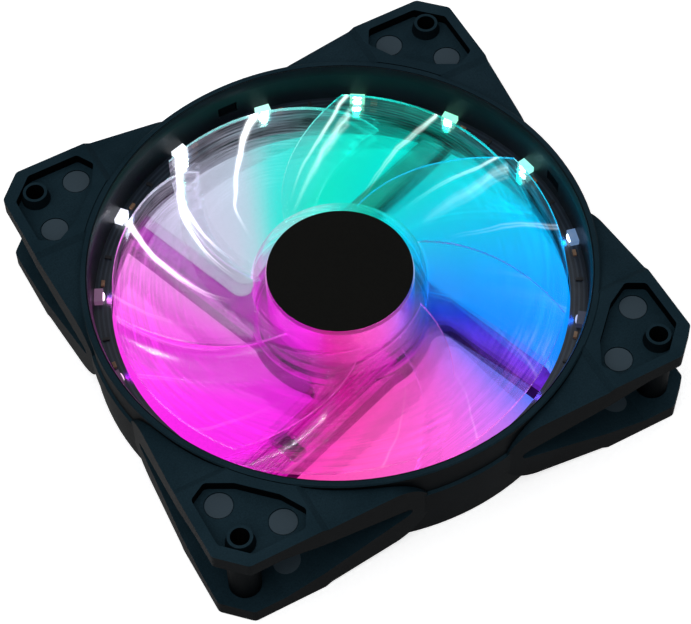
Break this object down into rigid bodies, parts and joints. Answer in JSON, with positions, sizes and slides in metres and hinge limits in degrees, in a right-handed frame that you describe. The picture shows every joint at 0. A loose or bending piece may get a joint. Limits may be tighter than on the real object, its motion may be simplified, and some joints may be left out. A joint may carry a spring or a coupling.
{
  "type": "case fan",
  "caption": "Square axial cooling fan with clear swept blades, open corner flanges, tangential struts and a ring of lights facing the intake.",
  "frame": {"origin": "centre of the rear face, where the fan's axis meets it", "axes": "+Z along the fan's axis towards the intake, X and Y parallel to the sides"},
  "size_m": [0.12, 0.12, 0.025],
  "materials": {
    "frame": "fine sparked texture, matte black",
    "board": "dark solder mask, satin",
    "light": "white body with a clear window",
    "ceramic": "fired ceramic with tinned ends",
    "chip": "moulded epoxy",
    "brass": "turned",
    "bronze": "sintered, oil filled",
    "nylon": "natural",
    "label": "plain paper-backed film",
    "lamination": "stacked sheet edges",
    "winding": "enamelled copper wire",
    "solder": "bright solder",
    "lead": "black insulation",
    "rubber": "matte",
    "clear": "clear polycarbonate, lightly frosted",
    "disc": "plain black film",
    "steel": "pressed and turned steel",
    "magnet": "bonded ferrite"
  },
  "bodies": {
    "root": {"bearing_tube": "brass", "board_capacitors": "ceramic", "coil_1": "winding", "coil_2": "winding", "coil_3": "winding", "coil_4": "winding", "driver_chip": "chip", "end_cap": "frame", "frame": "frame", "hall_sensor": "chip", "inlet_ring": "frame", "lead_clip": "frame", "lead_grommet": "rubber", "leads": "lead", "led_01": "light", "led_02": "light", "led_03": "light", "led_04": "light", "led_05": "light", "led_06": "light", "led_07": "light", "led_08": "light", "led_09": "light", "led_10": "light", "led_11": "light", "led_12": "light", "led_13": "light", "led_14": "light", "led_15": "light", "light_board": "board", "light_capacitors": "ceramic", "light_resistors": "chip", "lower_insulator": "nylon", "motor_board": "board", "oil_seal": "nylon", "rear_label": "label", "sleeve_bearing": "bronze", "solder_joints": "solder", "stator_core": "lamination", "terminal_pins": "solder", "thrust_pad": "nylon", "upper_insulator": "nylon"},
    "rotor": {"impeller": "clear", "hub_disc": "disc", "rotor_yoke": "steel", "ring_magnet": "magnet", "shaft_bush": "brass", "shaft": "steel", "retaining_clip": "nylon"}
  },
  "joints": [
    {"name": "rotor_spin", "type": "hinge", "parent": "root", "child": "rotor", "pos_m": [0, 0, 0.0125], "axis": [0, 0, 1], "continuous": true}
  ]
}
